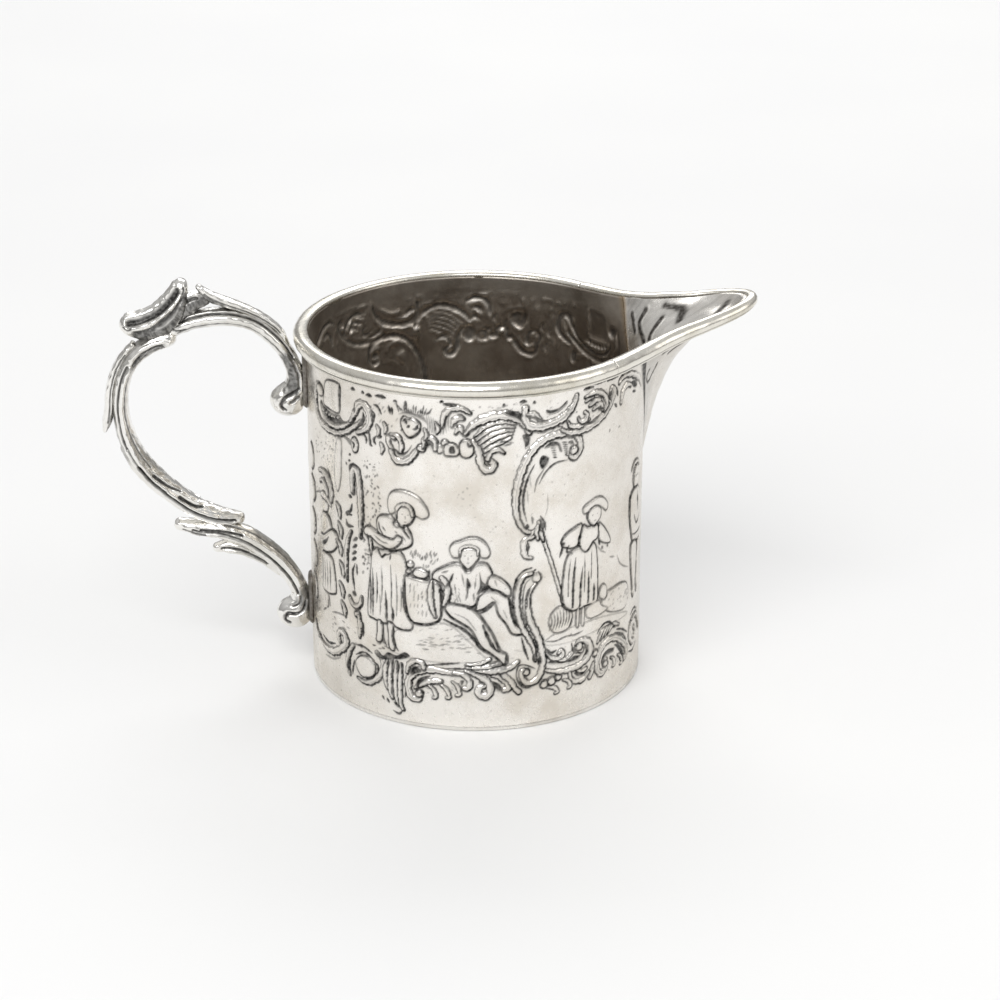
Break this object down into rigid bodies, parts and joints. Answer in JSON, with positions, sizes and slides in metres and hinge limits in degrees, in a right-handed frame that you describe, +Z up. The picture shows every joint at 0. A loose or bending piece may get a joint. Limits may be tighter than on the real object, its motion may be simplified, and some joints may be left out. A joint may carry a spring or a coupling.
{
  "type": "silver cream jug",
  "caption": "Small straight-sided silver cream jug with a folded V spout, a moulded rim wire, embossed pastoral panels and a cast scroll handle.",
  "frame": {"origin": "centre of the flat underside of the base disc", "axes": "+Z up through the mouth, +X towards the pouring spout, so the handle is on -X; +Y follows by the right-hand rule"},
  "size_m": [0.1168, 0.0642, 0.0751],
  "materials": {
    "body_silver": "silver sheet, embossed and chased, soft polish, dark oxide in the recesses; oxidised brown-grey inside",
    "base_silver": "plain silver sheet, soft polish with fine scratches",
    "rim_silver": "polished silver wire",
    "spout_silver": "silver sheet, chased, soft polish with dark oxide in the lines",
    "handle_silver": "cast silver, polished on the high places, black oxide in the grooves"
  },
  "bodies": {
    "root": {"body_wall": "body_silver", "base_disc": "base_silver", "rim_wire": "rim_silver", "spout": "spout_silver", "lip_wire": "rim_silver", "upper_pad": "handle_silver", "lower_pad": "handle_silver", "handle_upper_scroll": "handle_silver", "handle_upper_rib": "handle_silver", "thumb_scroll": "handle_silver", "handle_main_scroll": "handle_silver", "handle_back_leaf": "handle_silver", "handle_lower_scroll": "handle_silver", "handle_lower_leaf": "handle_silver"}
  },
  "joints": []
}
